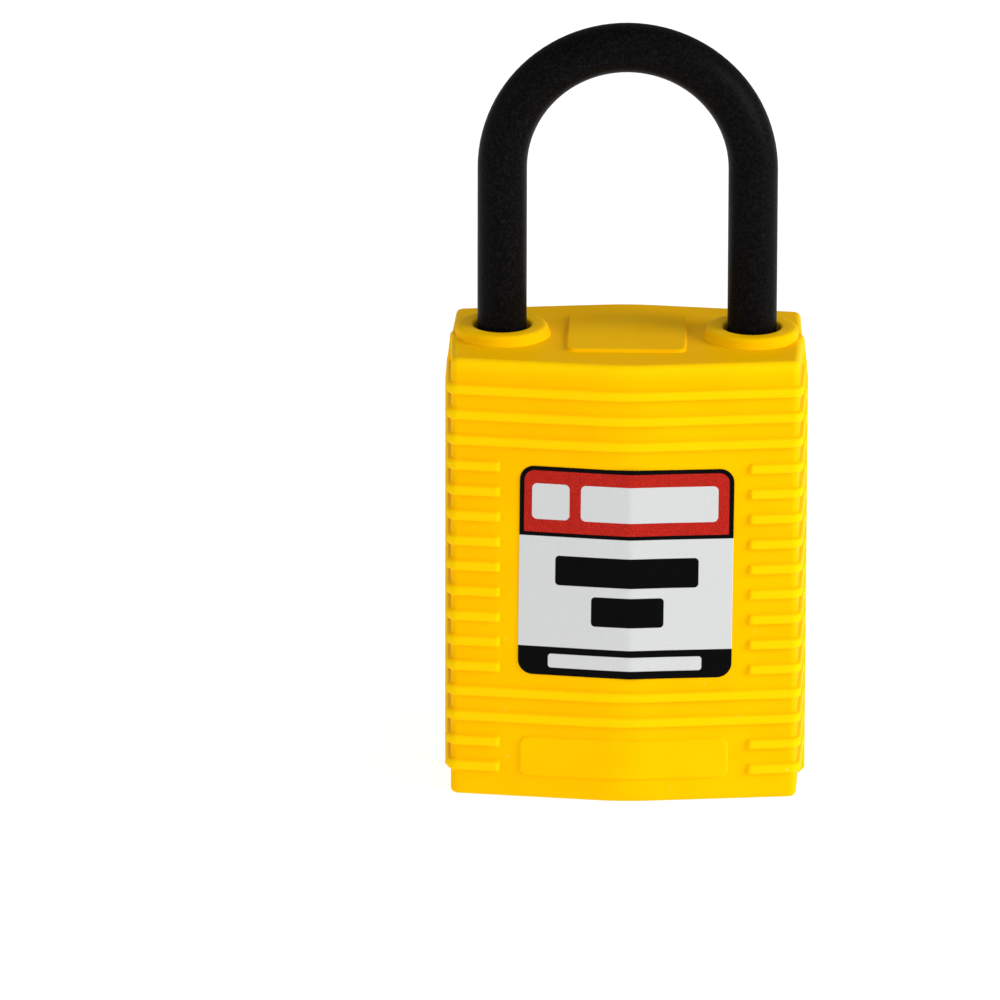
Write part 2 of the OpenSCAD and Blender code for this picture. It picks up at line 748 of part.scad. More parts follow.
// Two falling spirals that let both balls draw in by the same amount
module locking_cam() {
    step = 5;
    dwell = 16;
    lobe = concat(
        [for (a = [open_turn : -step : step]) cam_edge(a)],
        [for (a = [0 : dwell / 4 : dwell]) cam_r * [cos(a), sin(a)]]);
    color("slategray") difference() {
        translate([0, 0, cam_z]) linear_extrude(cam_t)
            polygon(concat(lobe, -1 * lobe));
        translate([0, 0, cam_z - cut])
            linear_extrude(cam_t + 2 * cut) square(square_w + 2 * drive_gap, center = true);
    }
}

module locking_ball(side) {
    color("silver") translate([side * ball_x, 0, ball_z]) sphere(ball_r);
}

body_shell();
bottom_plate();
front_label();
shackle();
shackle_retaining_clip();
shackle_spring();
lock_cylinder();
cylinder_stop_pin();
lock_plug();
slider(0);  // slider_1
slider(1);  // slider_2
slider(2);  // slider_3
slider(3);  // slider_4
slider(4);  // slider_5
slider(5);  // slider_6
slider_spring(0);  // slider_spring_1
slider_spring(1);  // slider_spring_2
slider_spring(2);  // slider_spring_3
slider_spring(3);  // slider_spring_4
slider_spring(4);  // slider_spring_5
slider_spring(5);  // slider_spring_6
sidebar(-1);  // sidebar_front
sidebar(1);  // sidebar_rear
sidebar_springs(-1);  // sidebar_springs_front
sidebar_springs(1);  // sidebar_springs_rear
plug_retaining_ring();
drive_spindle();
spindle_bearing();
locking_cam();
locking_ball(-1);  // locking_ball_left
locking_ball(1);  // locking_ball_right
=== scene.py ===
"""Lockout padlock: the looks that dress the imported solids.

Lengths are in millimetres until a mesh is filled, and metres in the scene. The front faces -Y,
the shackle stands up along +Z, and the heel leg is on the +X side.
"""
import json
import math

import bmesh
import bpy
import numpy as np
from mathutils import Matrix, Vector
from mathutils.geometry import tessellate_polygon


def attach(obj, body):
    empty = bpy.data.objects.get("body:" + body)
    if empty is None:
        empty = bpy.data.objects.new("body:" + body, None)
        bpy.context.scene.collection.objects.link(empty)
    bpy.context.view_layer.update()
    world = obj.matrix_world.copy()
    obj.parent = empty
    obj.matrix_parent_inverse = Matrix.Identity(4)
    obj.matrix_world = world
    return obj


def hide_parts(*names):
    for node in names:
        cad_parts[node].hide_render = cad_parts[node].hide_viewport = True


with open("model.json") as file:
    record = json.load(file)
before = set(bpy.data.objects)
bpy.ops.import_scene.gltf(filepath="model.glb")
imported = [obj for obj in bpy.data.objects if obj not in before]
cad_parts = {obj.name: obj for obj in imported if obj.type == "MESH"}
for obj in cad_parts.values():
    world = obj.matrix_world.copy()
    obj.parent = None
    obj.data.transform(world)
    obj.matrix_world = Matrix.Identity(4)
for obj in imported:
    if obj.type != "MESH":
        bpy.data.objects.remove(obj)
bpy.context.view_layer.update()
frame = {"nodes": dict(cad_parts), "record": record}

MM = 0.001

# Body, as in the part's source: half widths at the corners, in the middle of a flank and on
# its spine, half depths at the ridge and at the corners, and the radii of the edges
BODY_H = 44.2
CORNER_X, FLANK_X, SPINE_X = 16.7, 16.95, 17.5
RIDGE_Y, CORNER_Y = 10.45, 8.3
EDGE_R, CORNER_R, RIDGE_R = 0.5, 0.8, 20.0
SPINE_CREST, SPINE_FILLET = 0.8, 0.07
SPINE_FADE_H, SPINE_FADE_IN = 4.2, 0.45
SPINE_REACH, SPINE_BURIED = 3, 5.0

# Ribs, counted from the top. The short ones stop beside the label and the front pad.
RIB_PITCH, RIB_W, RIB_PROUD, RIB_ROUND, RIB_ROOT = 2.54, 1.0, 0.42, 0.28, 0.14
FIRST_RIB_DROP, RIB_COUNT = 3.0, 16
SHORT_RIBS = (*range(3, 12), 14, 15)
SHORT_RIB_START, RIB_NOSE = 12.0, 0.26

# Slopes of a front face and of a flank against the axes
FACE_SLOPE = (RIDGE_Y - CORNER_Y) / CORNER_X
FACE_ANGLE = math.atan(FACE_SLOPE)
FLANK_ANGLE = math.atan((FLANK_X - CORNER_X) / CORNER_Y)

# Paleness from 0 to 1 of the collars and the pads; the painted highlight on the top edge, and how
# far below that edge it fades out. A rib's crest has 1, partly wear and partly painted highlight.
PALE_COLLAR, PALE_PAD, EDGE_HIGHLIGHT, EDGE_HIGHLIGHT_FADE = 0.25, 0.1, 0.8, 1.1

# Holes, collars and the room for the lock
LEG_X, HOLE_R, COLLAR_R, COLLAR_H = 12.05, 2.75, 4.5, 1.0
COLLAR_ROUND, MOUTH_ROUND, COLLAR_FOOT = 0.5, 0.3, 0.3
FOOT_FADE, FOOT_LEAST, FOOT_SUNK = 0.7, 0.02, 0.006
LEDGE_R, LEDGE_Z = 3.7, 43.7
COLLAR_BASE_Z = LEDGE_Z + 0.01
TOE_FLOOR_Z, HEEL_SHOULDER_Z, HEEL_BORE_R = 35.6, 25.9, 3.3
TOE_WELL_Z, HEEL_WELL_Z = 40, 35
BORE_R, BORE_TOP, CAM_ROOM_R, CAM_ROOM_TOP = 7.25, 39.1, 6.95, 42.5
PLATE_T, PLATE_RIM, PLATE_CORNER_R = 1.6, 1.5, 0.4

# Plain pads: a pad's flare is given as steps of inset and height, from its buried rim up
PAD_ROUND, PAD_EDGE, PAD_LEAST_R = 0.8, 0.11, 0.05
PAD_FLARE = [(-0.1, -0.2), (-0.14, -0.008), (-0.09, 0.012), (-0.04, 0.045)]
PAD_TOP_INSETS = (0.25, 0.7)
PAD_STATIONS = np.array([0.6, 1.2, 1.8, 2.4, 3.2, 4.6, 6.5, 8.4])
TOP_PAD_W, TOP_PAD_T = 11.4, 0.3
FRONT_PAD_W, FRONT_PAD_H, FRONT_PAD_T, FRONT_PAD_Z = 20.0, 3.9, 0.22, 4.37

# Label, stuck on a little to the side and turned
LABEL_W, LABEL_H, LABEL_TOP, LABEL_T, LABEL_R = 20.6, 21.1, 33.75, 0.12, 1.4
LABEL_X, LABEL_TILT = 0.17, math.radians(0.5)
LABEL_FOLD_X, LABEL_FOLD_BLEND, LABEL_SPAN = 0.6, 0.05, (-3, 4)
LABEL_BEVEL, LABEL_LIFT, LABEL_EDGE_T = 0.05, 0.01, 0.6 * LABEL_T

# Camera: angles in degrees, distance in millimetres, and focal length and image in pixels.
# A height on the padlock's axis lies in the given pixel.
VIEW_AZIMUTH, VIEW_ELEVATION, VIEW_ROLL = -0.984, 17.653, -0.284
VIEW_DISTANCE, VIEW_FOCAL, IMAGE_SIZE = 1231, 12745, 1000
AXIS_HEIGHT, AXIS_PIXEL = 37.3, (626.61, 402.73)
SENSOR_W = 36

# Lights, in metres and watts: name, place, size, power
LIGHT_AIM = (0, 0, 0.03)
LIGHTS = [
    ("right_light", (1.8, -0.7, 0.8), 1.2, 31),
    ("left_light", (-1.8, -0.7, 0.8), 0.8, 5.6),
    ("front_light", (0.5, -1.9, 0.72), 1.0, 4),
    ("high_light", (0.2, -1.05, 1.85), 1.0, 4),
]
FLOOR_HALF_W = 3


# Meshes

# Points nearer than this are one, and edges shorter than the second are none, in metres
MERGE_GAP, EDGE_GAP = 2e-7, 1e-8
SHARP_ANGLE = math.radians(38)


class Skin:
    """Patches of one surface, which join where their borders meet."""

    def __init__(self):
        self.points, self.faces, self.values, self.count = [], [], [], 0

    def add(self, points, faces, value):
        """Points and the faces between them, with one value for all points or one for each."""
        self.points.append(points)
        self.faces += (np.asarray(faces) + self.count).tolist()
        self.values.append(np.broadcast_to(value, len(points)))
        self.count += len(points)

    def grid(self, rows, closed=True, value=0.0):
        """Quads between neighbouring rows of points, an array of rows by columns by 3."""
        height, width = rows.shape[:2]
        index = np.arange(height * width).reshape(height, width)
        if closed:
            index = np.hstack([index, index[:, :1]])
        quads = np.stack([index[:-1, :-1], index[:-1, 1:], index[1:, 1:], index[1:, :-1]], -1)
        if np.ndim(value) == 2:
            value = value.reshape(-1)
        self.add(rows.reshape(-1, 3), quads.reshape(-1, 4), value)

    def flat(self, *loops):
        """Triangles of the flat region between an outer loop and the holes in it."""
        faces = tessellate_polygon([[Vector(p) for p in loop] for loop in loops])
        self.add(np.concatenate(loops), faces, 0.0)

    def make(self, name):
        """The piece: its patches joined, its faces turned outwards, and shaded as moulded."""
        mesh = bpy.data.meshes.new(name)
        mesh.from_pydata((np.concatenate(self.points) * MM).tolist(), [], self.faces)
        wear_and_highlight = mesh.attributes.new("wear_and_highlight", "FLOAT", "POINT")
        wear_and_highlight.data.foreach_set("value", np.concatenate(self.values).astype(np.float32))
        work = bmesh.new()
        work.from_mesh(mesh)
        bmesh.ops.remove_doubles(work, verts=work.verts, dist=MERGE_GAP)
        bmesh.ops.dissolve_degenerate(work, edges=work.edges, dist=EDGE_GAP)
        bmesh.ops.recalc_face_normals(work, faces=work.faces)
        work.to_mesh(mesh)
        work.free()
        mesh.shade_smooth()
        mesh.set_sharp_from_angle(angle=SHARP_ANGLE)
        piece = bpy.data.objects.new(name, mesh)
        bpy.context.scene.collection.objects.link(piece)
        weighted = piece.modifiers.new("even_normals", "WEIGHTED_NORMAL")
        weighted.keep_sharp = True
        return piece


def quarter(steps):
    """Cosines and sines over a quarter turn, ends included."""
    turn = np.linspace(0, math.pi / 2, steps + 1)
    return np.cos(turn), np.sin(turn)


def circle_rows(center_x, profile, segments=96):
    """Rings about an upright axis, one for each (radius, height) of a profile."""
    turn = np.linspace(0, 2 * math.pi, segments, endpoint=False)
    radius, height = np.array(profile, float).T
    return np.stack([
        center_x + radius[:, None] * np.cos(turn),
        radius[:, None] * np.sin(turn),
        np.repeat(height[:, None], segments, 1)], -1)


# Body outline

# Points and radius of the arc at each corner, from the front ridge round by the +X flank
ARC_POINTS = (9, 8, 1, 8) * 2
RADII = (RIDGE_R, CORNER_R, 0, CORNER_R) * 2

# Stations along a front face from its ridge, close together at the short ribs' ends, and
# along half a flank from its corner, close together on the spine's slope
FACE_STATIONS = np.array([
    3.2, 4.4, 6, 7.6, 9, 10.3, 11.2, 11.7, 11.93, 12, 12.012, 12.035, 12.07, 12.12, 12.18,
    12.26, 12.5, 13.2, 14.2])
FLANK_STATIONS = np.array([
    6.2, 5.2, 4.2, 3.2, 2.4, 1.9, 1.6, 1.42, 1.32, 1.24, 1.16, 1.08, 1, 0.93, 0.87, 0.81,
    0.7, 0.5, 0.25])


def outline(shift, radii, stations):
    """Rounded outline of the body: each edge moved out by shift, and each corner an arc that
    is tangent to its two edges, with the stations' shares of every edge between the arcs.
    Returns the points and their outward normals."""
    corners = np.array([
        [0, -RIDGE_Y], [CORNER_X, -CORNER_Y], [FLANK_X, 0], [CORNER_X, CORNER_Y],
        [0, RIDGE_Y], [-CORNER_X, CORNER_Y], [-FLANK_X, 0], [-CORNER_X, -CORNER_Y]])
    edges = np.roll(corners, -1, 0) - corners
    outward = np.stack([edges[:, 1], -edges[:, 0]], 1)
    outward /= np.linalg.norm(outward, axis=1)[:, None]
    before = np.roll(outward, 1, 0)
    miter = (before + outward) / (1 + (before * outward).sum(1))[:, None]
    corners = corners + shift * miter
    points, normals = [], []
    for i, radius in enumerate(radii):
        center = corners[i] - radius * miter[i]
        if radius:
            start, end = (math.atan2(n[1], n[0]) for n in (before[i], outward[i]))
            turn = start + np.linspace(0, (end - start) % (2 * math.pi), ARC_POINTS[i])
        else:
            turn = np.array([math.atan2(miter[i][1], miter[i][0])])
        normal = np.stack([np.cos(turn), np.sin(turn)], 1)
        points.append(center + radius * normal)
        normals.append(normal)
        k = (i + 1) % 8
        first = center + radius * outward[i]
        last = corners[k] - radii[k] * miter[k] + radii[k] * outward[i]
        share = stations[i % 4][:, None]
        points.append(first + share * (last - first))
        normals.append(np.repeat(outward[i][None], len(share), 0))
    return np.concatenate(points), np.concatenate(normals)


def shares():
    """The stations as shares of their edges, in the order of the outline's first four edges."""
    x0 = RIDGE_R * math.sin(FACE_ANGLE)
    reach = CORNER_R / (1 + math.cos(math.pi / 2 - FACE_ANGLE - FLANK_ANGLE))
    face = (FACE_STATIONS - x0) / (CORNER_X - reach - x0)
    flank = 1 - FLANK_STATIONS / (CORNER_Y - reach)
    return (face, flank, 1 - flank[::-1], 1 - face[::-1])


def front_y(x, proud=0.0):
    """Depth of the front face at x, with the face moved out by proud: two flat faces that
    meet in a round ridge, a circle that touches both."""
    x = np.abs(x)
    radius = RIDGE_R + proud
    center = -RIDGE_Y + RIDGE_R / math.cos(FACE_ANGLE)
    apex = RIDGE_Y + proud / math.cos(FACE_ANGLE)
    flat = -(apex - x * FACE_SLOPE)
    bent = center - np.sqrt(np.maximum(radius ** 2 - x ** 2, 0))
    return np.where(x < radius * math.sin(FACE_ANGLE), bent, flat)


# Moulded shell

def rib_section():
    """Half of a rib from its root to its crest, as (distance from the rib's middle, height):
    a small root fillet, a wall, and a round over to the flat crest."""
    cos, sin = quarter(3)
    root = np.stack([RIB_W / 2 + RIB_ROOT * (1 - sin[:-1]), RIB_ROOT * (1 - cos[:-1])], 1)
    cos, sin = quarter(4)
    over = np.stack([RIB_W / 2 - RIB_ROUND * (1 - cos),
                     RIB_PROUD - RIB_ROUND * (1 - sin)], 1)
    return np.concatenate([root, over])


def side_rows():
    """Rows of the side wall from the bottom up: height and offset with the ribs, height and
    offset without them, and whether the row belongs to a short rib."""
    def plain(z, offset=0.0):
        return z, offset, z, offset, 0

    cos, sin = quarter(6)
    rows = [plain(EDGE_R * (1 - c), EDGE_R * (s - 1)) for c, s in zip(cos, sin)]
    section = rib_section()
    both = np.concatenate([section * (-1, 1), section[::-1]])
    even = np.linspace(both[0, 0], both[-1, 0], len(both))
    for level in range(RIB_COUNT - 1, -1, -1):
        middle = BODY_H - FIRST_RIB_DROP - level * RIB_PITCH
        short = level in SHORT_RIBS
        rows += [(middle + d, h, middle + e, 0.0, short) for (d, h), e in zip(both, even)]
        if level:
            rows.append(plain(middle + RIB_PITCH / 2))
    rows.append(plain(BODY_H - EDGE_R - EDGE_HIGHLIGHT_FADE))
    rows += [plain(BODY_H - EDGE_R * (1 - s), -EDGE_R * (1 - c)) for c, s in zip(cos, sin)]
    return np.array(rows, float).T


def spine_offset(base, height):
    """Offset of the flank's spine from the flank: a flat crest that slopes off at 45 degrees
    to both sides, lower towards the top and cut back with the bottom edge. Away from the
    flank's middle it is buried in the body."""
    crest = np.interp(
        height, [0, EDGE_R, BODY_H - SPINE_FADE_H, BODY_H - EDGE_R / 2, BODY_H],
        [SPINE_X - EDGE_R, SPINE_X, SPINE_X, SPINE_X - SPINE_FADE_IN,
         SPINE_X - SPINE_FADE_IN - EDGE_R / 2])
    across = np.abs(base[:, 1])
    slope = np.maximum(across - SPINE_CREST, 0) + np.abs(base[:, 0])
    on_flank = (np.abs(base[:, 0]) > CORNER_X) & (across < SPINE_REACH)
    return np.where(on_flank, crest - slope, -SPINE_BURIED)


def soft_max(a, b, blend):
    """The larger of two heights, with a small fillet where they cross: half of their sum plus
    the square root of their difference squared plus the blend squared."""
    return (a + b + np.sqrt((a - b) ** 2 + blend ** 2)) / 2


def moulded_shell():
    """The body: its outline carried up through the rows of ribs, closed by a flat top with
    the two leg holes, and by the recess, the heel hole and the lock's bore underneath. A
    short rib's rows sink to the plain wall by a quarter circle at its round end, and the
    spines are joined on by the soft maximum. The share of wear and highlight that the finish reads
    is 1 on a rib's crest, partly wear and partly painted highlight, and grows with the square of
    the nearness to the top edge, where it is a painted highlight."""
    base, normal = outline(0, RADII, SHARES)
    rib_z, rib_out, plain_z, plain_out, short = side_rows()[:, :, None]
    nose = np.clip((np.abs(base[:, 0]) - SHORT_RIB_START) / RIB_NOSE, 0, 1)
    end = np.sqrt(1 - (1 - nose) ** 2)
    share = np.where(short > 0, end, 1.0)
    height = plain_z + share * (rib_z - plain_z)
    out = plain_out + share * (rib_out - plain_out)
    # Painted highlight: the wall grows paler towards the top edge. The rib crests are paler too,
    # partly wear and partly painted highlight.
    edge = np.clip((height - BODY_H + EDGE_R + EDGE_HIGHLIGHT_FADE) / EDGE_HIGHLIGHT_FADE, 0, 1)
    wear_and_highlight = np.maximum(np.clip(out / RIB_PROUD, 0, 1), EDGE_HIGHLIGHT * edge ** 2)
    out = soft_max(out, spine_offset(base, height), SPINE_FILLET)

    def ring(z, offset):
        flat = base + np.reshape(offset, (-1, 1)) * normal
        return np.column_stack([flat, np.full(len(flat), z)])

    # A ring just inside each edge keeps the flat top and the rim evenly shaded
    support = 0.1
    wall = np.dstack([base[:, 0] + out * normal[:, 0], base[:, 1] + out * normal[:, 1], height])
    wall = np.concatenate([ring(0, out[0] - support)[None], wall,
                           ring(BODY_H, out[-1] - support)[None]])
    wear_and_highlight = np.concatenate([wear_and_highlight[:1], wear_and_highlight, np.zeros_like(wear_and_highlight[-1:])])
    skin = Skin()
    skin.grid(wall, value=wear_and_highlight)

    wells = {}
    profiles = {
        -LEG_X: [(LEDGE_R, BODY_H), (LEDGE_R, LEDGE_Z), (HOLE_R, LEDGE_Z),
                 (HOLE_R, TOE_WELL_Z), (HOLE_R, TOE_FLOOR_Z)],
        LEG_X: [(LEDGE_R, BODY_H), (LEDGE_R, LEDGE_Z), (HOLE_R, LEDGE_Z),
                (HOLE_R, HEEL_WELL_Z), (HOLE_R, HEEL_SHOULDER_Z), (HEEL_BORE_R, HEEL_SHOULDER_Z),
                (HEEL_BORE_R, PLATE_T)]}
    for x, profile in profiles.items():
        wells[x] = circle_rows(x, profile)
        skin.grid(wells[x])
    bore = circle_rows(0, [(BORE_R, PLATE_T), (BORE_R, BORE_TOP), (CAM_ROOM_R, BORE_TOP),
                           (CAM_ROOM_R, CAM_ROOM_TOP)])
    skin.grid(bore)
    skin.flat(bore[-1])
    skin.flat(wells[-LEG_X][-1])
    skin.flat(wall[-1], wells[-LEG_X][0], wells[LEG_X][0])

    rim_radii = (PLATE_CORNER_R, PLATE_CORNER_R, 0, PLATE_CORNER_R) * 2
    rim, _ = outline(-PLATE_RIM, rim_radii, SHARES)
    recess = np.stack([np.column_stack([rim, np.full(len(rim), z)])
                       for z in (0, PLATE_T / 2, PLATE_T)])
    skin.grid(np.stack([wall[0], recess[0]]))
    skin.grid(recess)
    skin.flat(recess[-1], bore[0], wells[LEG_X][-1])
    return skin.make("moulded_shell")


def leg_collar(name, side):
    """A raised collar: a round section turned about the leg's axis, with a foot that flares
    into the flat top and dies out where the collar runs into the flank's rounded edge."""
    turn = np.linspace(0, 2 * math.pi, 120, endpoint=False)
    reach = LEG_X + (COLLAR_R + COLLAR_FOOT) * np.cos(turn)
    inland = np.clip((CORNER_X - EDGE_R - reach) / FOOT_FADE, 0, 1)
    foot = FOOT_LEAST + COLLAR_FOOT * inland ** 2 * (3 - 2 * inland)
    top = BODY_H + COLLAR_H
    rows = [(HOLE_R, COLLAR_BASE_Z), (HOLE_R, BODY_H), (HOLE_R, top - MOUTH_ROUND)]
    cos, sin = quarter(5)
    rows += [(HOLE_R + MOUTH_ROUND * (1 - c), top - MOUTH_ROUND * (1 - s))
             for c, s in zip(cos[1:], sin[1:])]
    rows += [((HOLE_R + COLLAR_R) / 2, top)]
    rows += [(COLLAR_R - COLLAR_ROUND * (1 - s), top - COLLAR_ROUND * (1 - c))
             for c, s in zip(cos, sin)]
    rows = [(np.full_like(turn, r), np.full_like(turn, z)) for r, z in rows]
    rows += [(COLLAR_R + foot * (1 - s), BODY_H + foot * (1 - c) - FOOT_SUNK)
             for c, s in zip(sin[::-1], cos[::-1])][1:]
    rows.append((np.full_like(turn, COLLAR_R), np.full_like(turn, COLLAR_BASE_Z)))
    rows.append(rows[0])
    radius, height = np.array(rows).transpose(1, 0, 2)
    points = np.stack([side * (LEG_X + radius * np.cos(turn)), radius * np.sin(turn), height], -1)
    skin = Skin()
    skin.grid(points, value=PALE_COLLAR)
    return skin.make(name)


def rounded_rectangle(half_w, half_h, radius, stations):
    """Loop of points round a rectangle with round corners: its long sides are sampled at the
    given places along x, and its short sides at five places."""
    cos, sin = quarter(6)
    reach_x, reach_y = half_w - radius, half_h - radius
    corner = np.stack([reach_x + radius * cos, reach_y + radius * sin], 1)
    xs = np.clip(stations, -reach_x, reach_x)
    ys = np.linspace(-reach_y, reach_y, 7)[1:-1]
    top = np.column_stack([xs[::-1], np.full(len(xs), half_h)])
    left = np.column_stack([np.full(len(ys), -half_w), ys[::-1]])
    return np.concatenate([
        np.column_stack([np.full(len(ys), half_w), ys]), corner, top,
        (corner * (-1, 1))[::-1], left, -corner, -top, (corner * (1, -1))[::-1]])


def low_pad(name, half_w, half_h, thick, place):
    """A low moulded pad: the loops of a rounded rectangle, each a step further in and up, from
    a small flare on the face over a round edge to the flat top, and closed underneath."""
    reach = PAD_STATIONS[PAD_STATIONS < half_w - PAD_ROUND]
    stations = np.concatenate([-reach[::-1], [0], reach])
    edge = [(PAD_EDGE * (1 - c), thick - PAD_EDGE * (1 - s)) for c, s in zip(*quarter(4))]
    steps = PAD_FLARE + edge + [(inset, thick) for inset in PAD_TOP_INSETS]
    loops = []
    for inset, height in steps:
        loop = rounded_rectangle(half_w - inset, half_h - inset,
                                 max(PAD_ROUND - inset, PAD_LEAST_R), stations)
        loops.append(place(loop[:, 0], loop[:, 1], height))
    middle = loop.copy()
    middle[:, 1] = 0
    middle[:, 0] = np.clip(middle[:, 0], stations[0], stations[-1])
    loops.append(place(middle[:, 0], middle[:, 1], thick))
    under = place(middle[:, 0], middle[:, 1], steps[0][1])
    skin = Skin()
    skin.grid(np.stack([under] + loops), value=PALE_PAD)
    return skin.make(name)


def on_top(x, y, height):
    """Points at x and y, at a height over the flat top."""
    return np.column_stack([x, y, np.full_like(x, BODY_H + height)])


def on_front(x, z, height):
    """Points at x and at z from the front pad's middle, at a height over the front face."""
    return np.column_stack([x, front_y(x, height), FRONT_PAD_Z + z])


def film_y(x, proud):
    """Depth of the label at x: it lies on both faces, and in between it spans the round ridge
    in two flat strips that meet in a fold, rounded by (sqrt(d^2 + b^2) - |d|) / 2, where d is
    the change of slope times the distance from the fold and b is the blend."""
    ends = np.array([-CORNER_X, LABEL_SPAN[0], LABEL_FOLD_X, LABEL_SPAN[1], CORNER_X])
    depth = RIDGE_Y - FACE_SLOPE * np.abs(ends)
    depth[2] = RIDGE_Y
    slopes = np.diff(depth) / np.diff(ends)
    bend = (slopes[1] - slopes[2]) * (x - LABEL_FOLD_X)
    rounding = (np.hypot(bend, LABEL_FOLD_BLEND) - np.abs(bend)) / 2
    return -(np.interp(x, ends, depth) - rounding + proud)


def label_film():
    """The label: a film whose outline is a rectangle with round corners, turned a little and
    laid over the front ridge. Rows run across, each as wide as the outline is there, on a
    front layer, an edge and a back layer that lies on the body."""
    half_w, half_h = LABEL_W / 2, LABEL_H / 2
    _, sin = quarter(9)
    ends = half_h - LABEL_R * (1 - sin)
    inner = np.linspace(-ends[0], ends[0], 15)[1:-1]
    z = np.concatenate([-ends[::-1], inner, ends])
    past = np.clip((np.abs(z) - (half_h - LABEL_R)) / LABEL_R, 0, 1)
    width = half_w - LABEL_R * (1 - np.sqrt(1 - past ** 2))
    # Columns, as shares of the half width, close together at the ridge and the fold
    share = np.concatenate([-np.linspace(1, 0.3, 12), np.linspace(-0.27, -0.03, 8),
                            np.linspace(0, 0.12, 13), np.linspace(0.15, 0.42, 9),
                            np.linspace(0.46, 1, 11)])
    x = width[:, None] * share
    z = np.repeat(z[:, None], len(share), 1)

    def layer(inset, depth, proud):
        wide, high = x * (1 - inset / half_w), z * (1 - inset / half_h)
        cos, sin = math.cos(LABEL_TILT), math.sin(LABEL_TILT)
        across = LABEL_X + wide * cos + high * sin
        return np.dstack([across, depth(across, proud),
                          LABEL_TOP - half_h + high * cos - wide * sin])

    front, edge = layer(LABEL_BEVEL, film_y, LABEL_T), layer(0, film_y, LABEL_EDGE_T)
    back = layer(0, front_y, LABEL_LIFT)
    skin = Skin()
    skin.grid(front, closed=False)
    skin.grid(back, closed=False)

    def border(rows):
        return np.concatenate([rows[0], rows[1:-1, -1], rows[-1, ::-1], rows[-2:0:-1, 0]])

    skin.grid(np.stack([border(front), border(edge), border(back)]))
    return skin.make("label_film")


# Materials: sizes that they read are in millimetres

# A speck's radius as a share of its cell's width, and the share of cells that have none
SPECK_R, SPECK_NONE = 0.12, 0.86
TONE_SIZE = 2.5
MASK_BLUR = 0.02


def group(name, inputs, outputs):
    """A node group with the named float inputs and outputs, and its in and out nodes."""
    tree = bpy.data.node_groups.new(name, "ShaderNodeTree")
    for way, names in (("INPUT", inputs), ("OUTPUT", outputs)):
        for label, start in names.items():
            socket = tree.interface.new_socket(label, in_out=way, socket_type="NodeSocketFloat")
            if way == "INPUT":
                socket.default_value = start
    return tree, tree.nodes.new("NodeGroupInput"), tree.nodes.new("NodeGroupOutput")


def math_node(tree, kind, *values):
    """A Math node whose inputs are numbers or the outputs of other nodes."""
    node = tree.nodes.new("ShaderNodeMath")
    node.operation = kind
    for socket, value in zip(node.inputs, values):
        if isinstance(value, (int, float)):
            socket.default_value = value
        else:
            tree.links.new(value, socket)
    return node.outputs[0]


def noise(tree, vector, scale, detail, rough=0.5):
    """Noise at a place, whose scale is a number or an output."""
    node = tree.nodes.new("ShaderNodeTexNoise")
    node.inputs["Detail"].default_value = detail
    node.inputs["Roughness"].default_value = rough
    tree.links.new(vector, node.inputs["Vector"])
    if isinstance(scale, (int, float)):
        node.inputs["Scale"].default_value = scale
    else:
        tree.links.new(scale, node.inputs["Scale"])
    return node.outputs["Fac"]


def moulded_grain():
    """Fine grain of a moulded plastic, slow flow marks, and sparse pale specks of dust."""
    tree, come, go = group(
        "moulded_grain", {"Grain Size": 0.25, "Flow Size": 9.0, "Speck Size": 0.6},
        {"Height": 0, "Flow": 0, "Specks": 0})
    place = tree.nodes.new("ShaderNodeTexCoord").outputs["Object"]
    per_metre = {key: math_node(tree, "DIVIDE", 1 / MM, come.outputs[key])
                 for key in ("Grain Size", "Flow Size", "Speck Size")}
    fine = noise(tree, place, per_metre["Grain Size"], 3.0, 0.6)
    flow = noise(tree, place, per_metre["Flow Size"], 2.0, 0.45)
    cells = tree.nodes.new("ShaderNodeTexVoronoi")
    tree.links.new(place, cells.inputs["Vector"])
    tree.links.new(per_metre["Speck Size"], cells.inputs["Scale"])
    near = math_node(tree, "LESS_THAN", cells.outputs["Distance"], SPECK_R)
    pick = tree.nodes.new("ShaderNodeSeparateColor")
    tree.links.new(cells.outputs["Color"], pick.inputs[0])
    rare = math_node(tree, "GREATER_THAN", pick.outputs[0], SPECK_NONE)
    tree.links.new(fine, go.inputs["Height"])
    tree.links.new(flow, go.inputs["Flow"])
    tree.links.new(math_node(tree, "MULTIPLY", near, rare), go.inputs["Specks"])
    return tree


def turned_lines():
    """Fine rings that a lathe leaves: noise that changes quickly with the radius and the
    height, and hardly round the axis."""
    tree, come, go = group("turned_lines", {"Line Size": 0.08, "Centre X": 0.0},
                           {"Height": 0, "Tone": 0})
    place = tree.nodes.new("ShaderNodeTexCoord").outputs["Object"]
    split = tree.nodes.new("ShaderNodeSeparateXYZ")
    tree.links.new(place, split.inputs[0])
    x = math_node(tree, "SUBTRACT", split.outputs[0],
                  math_node(tree, "MULTIPLY", come.outputs["Centre X"], MM))
    radius = math_node(tree, "SQRT", math_node(
        tree, "ADD", math_node(tree, "MULTIPLY", x, x),
        math_node(tree, "MULTIPLY", split.outputs[1], split.outputs[1])))
    join = tree.nodes.new("ShaderNodeCombineXYZ")
    tree.links.new(radius, join.inputs[0])
    tree.links.new(split.outputs[2], join.inputs[1])
    scale = math_node(tree, "DIVIDE", 1 / MM, come.outputs["Line Size"])
    tree.links.new(noise(tree, join.outputs[0], scale, 2.0), go.inputs["Height"])
    tree.links.new(noise(tree, place, 1 / (TONE_SIZE * MM), 2.0), go.inputs["Tone"])
    return tree


